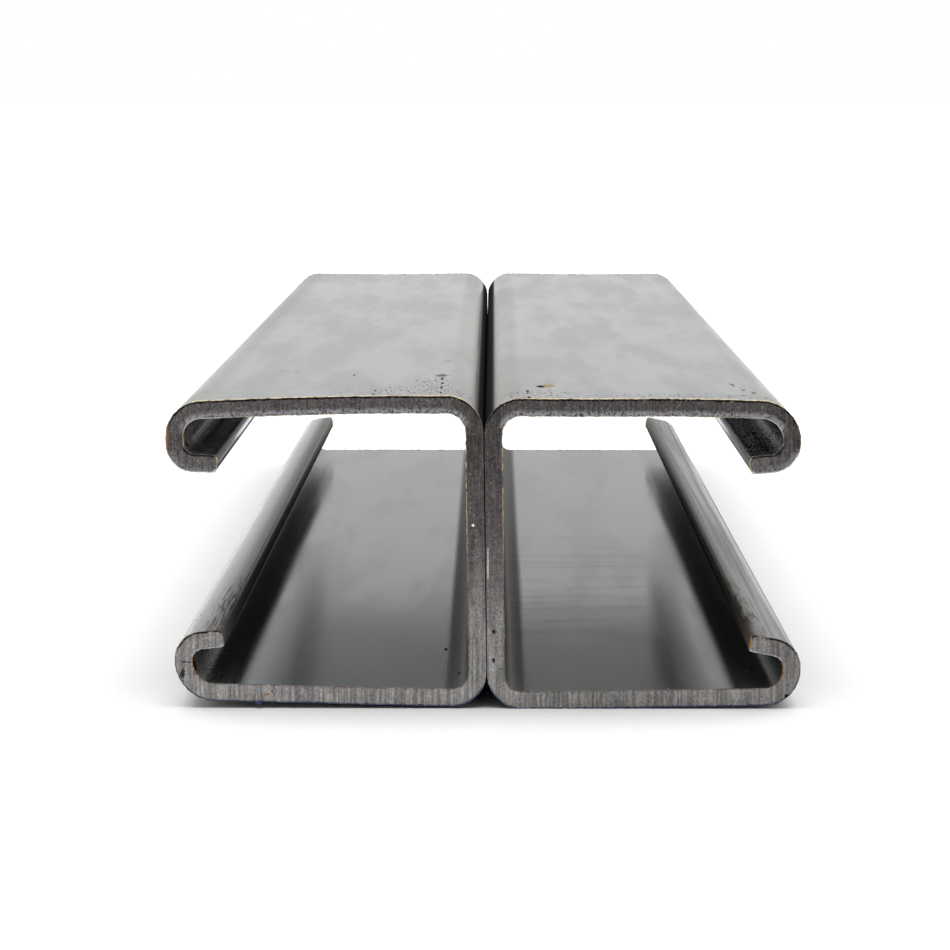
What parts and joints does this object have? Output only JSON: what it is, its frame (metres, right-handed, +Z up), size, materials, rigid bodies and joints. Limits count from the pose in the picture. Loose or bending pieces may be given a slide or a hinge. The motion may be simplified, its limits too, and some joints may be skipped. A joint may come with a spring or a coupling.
{
  "type": "back-to-back strut channel",
  "caption": "Lipped steel strut channels welded back to back through their webs, open along both sides to take channel nuts.",
  "frame": {"origin": "middle of the cut length, on the seam between the two webs, at the underside", "axes": "+X from the seam to the mouth of channel_right, +Y along the stock, away from the camera, +Z up"},
  "size_m": [0.0828, 0.254, 0.0413],
  "materials": {
    "plain_steel": "plain cold-rolled strip with no coating, lightly oiled, sawn ends bare"
  },
  "bodies": {
    "root": {"channel_left": "plain_steel", "channel_right": "plain_steel"}
  },
  "joints": []
}
